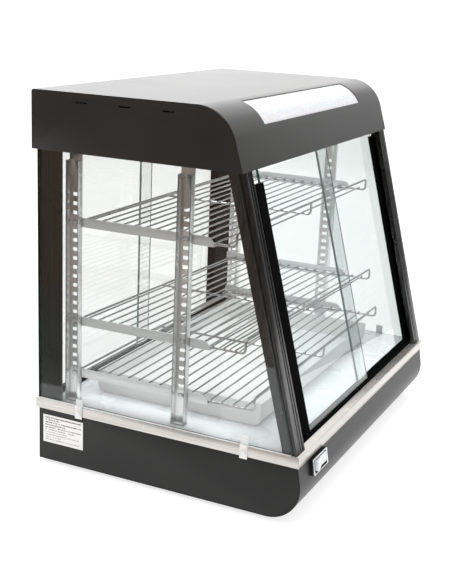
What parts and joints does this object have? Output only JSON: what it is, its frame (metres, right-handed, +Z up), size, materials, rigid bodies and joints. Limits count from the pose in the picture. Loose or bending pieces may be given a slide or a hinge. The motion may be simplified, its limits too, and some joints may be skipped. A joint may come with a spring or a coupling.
{
  "type": "hot food display case",
  "caption": "Countertop hot food display case: painted base and lit sign hood, glazed sides, sloping sliding front panes, sliding back panes, wire racks on slotted uprights.",
  "frame": {"origin": "middle of the footprint, on the surface the feet stand on", "axes": "+X to the right seen from the customer's side, +Y towards the server's side at the back, +Z up"},
  "size_m": [0.661, 0.4946, 0.6175],
  "materials": {
    "black_paint": "satin powder coat",
    "black_metal": "black anodised extrusion",
    "black_plastic": "satin",
    "rubber": "matt",
    "stainless": "brushed stainless",
    "galvanised": "bright rolled steel",
    "chrome": "polished plate",
    "glass": "clear float glass, greenish edges",
    "opal": "opal white, lit from behind",
    "white_plastic": "satin white",
    "label": null
  },
  "bodies": {
    "case": {"base_back": "black_paint", "base_side_left": "black_paint", "base_side_right": "black_paint", "base_wrap": "black_paint", "ceiling_panel": "stainless", "deck_pan": "stainless", "foot_back_left": "rubber", "foot_back_right": "rubber", "foot_front_left": "rubber", "foot_front_right": "rubber", "front_switch_housing": "chrome", "glass_clip_left_back": "stainless", "glass_clip_left_front": "stainless", "glass_clip_right_back": "stainless", "glass_clip_right_front": "stainless", "heating_element": "galvanised", "hood_side_left": "black_paint", "hood_side_right": "black_paint", "hood_wrap": "black_paint", "lamp_fitting": "white_plastic", "lamp_tube": "opal", "post_back_left": "black_metal", "post_back_right": "black_metal", "post_front_left": "black_metal", "post_front_right": "black_metal", "power_inlet": "black_plastic", "rating_label": "label", "shelf_rail_bottom_left": "galvanised", "shelf_rail_bottom_right": "galvanised", "shelf_rail_middle_left": "galvanised", "shelf_rail_middle_right": "galvanised", "shelf_rail_top_left": "galvanised", "shelf_rail_top_right": "galvanised", "side_glass_left": "glass", "side_glass_right": "glass", "sign_panel": "opal", "thermostat_body": "black_plastic", "track_back_bottom": "black_plastic", "track_back_top": "black_plastic", "track_front_bottom": "black_plastic", "track_front_top": "black_plastic", "upright_left_back": "galvanised", "upright_left_front": "galvanised", "upright_right_back": "galvanised", "upright_right_front": "galvanised"},
    "front_door_left": {"front_door_left_glass": "glass", "front_door_left_strip": "black_plastic"},
    "front_door_right": {"front_door_right_glass": "glass", "front_door_right_strip": "black_plastic"},
    "back_door_left": {"back_door_left_glass": "glass", "back_door_left_strip": "black_plastic"},
    "back_door_right": {"back_door_right_glass": "glass", "back_door_right_strip": "black_plastic"},
    "wire_rack_bottom": {"wire_rack_bottom": "chrome"},
    "wire_rack_middle": {"wire_rack_middle": "chrome"},
    "wire_rack_top": {"wire_rack_top": "chrome"},
    "crumb_tray": {"crumb_tray": "stainless"},
    "front_switch_rocker": {"front_switch_rocker": "white_plastic"},
    "thermostat_knob": {"thermostat_knob": "black_plastic"}
  },
  "joints": [
    {"name": "front_door_left_slide", "type": "slide", "parent": "case", "child": "front_door_left", "axis": [1, 0, 0], "range_m": [-0.0505, 0.2745]},
    {"name": "front_door_right_slide", "type": "slide", "parent": "case", "child": "front_door_right", "axis": [1, 0, 0], "range_m": [-0.325, 0]},
    {"name": "back_door_left_slide", "type": "slide", "parent": "case", "child": "back_door_left", "axis": [1, 0, 0], "range_m": [0, 0.313]},
    {"name": "back_door_right_slide", "type": "slide", "parent": "case", "child": "back_door_right", "axis": [1, 0, 0], "range_m": [-0.2945, 0.0185]},
    {"name": "wire_rack_bottom_slide", "type": "slide", "parent": "case", "child": "wire_rack_bottom", "axis": [0, 1, 0], "range_m": [-0.04, 0.02]},
    {"name": "wire_rack_middle_slide", "type": "slide", "parent": "case", "child": "wire_rack_middle", "axis": [0, 1, 0], "range_m": [-0.03, 0.02]},
    {"name": "wire_rack_top_slide", "type": "slide", "parent": "case", "child": "wire_rack_top", "axis": [0, 1, 0], "range_m": [-0.012, 0.02]},
    {"name": "crumb_tray_slide", "type": "slide", "parent": "case", "child": "crumb_tray", "axis": [0, 1, 0], "range_m": [-0.05, 0.04]},
    {"name": "front_switch_rock", "type": "hinge", "parent": "case", "child": "front_switch_rocker", "pos_m": [-0.25, -0.23114, 0.07881], "axis": [0, 0.1736, 0.9848], "range_deg": [-14, 0]},
    {"name": "thermostat_knob_turn", "type": "hinge", "parent": "case", "child": "thermostat_knob", "pos_m": [0.15, 0.23931, 0.058], "axis": [0, 1, 0], "range_deg": [0, 300]}
  ]
}
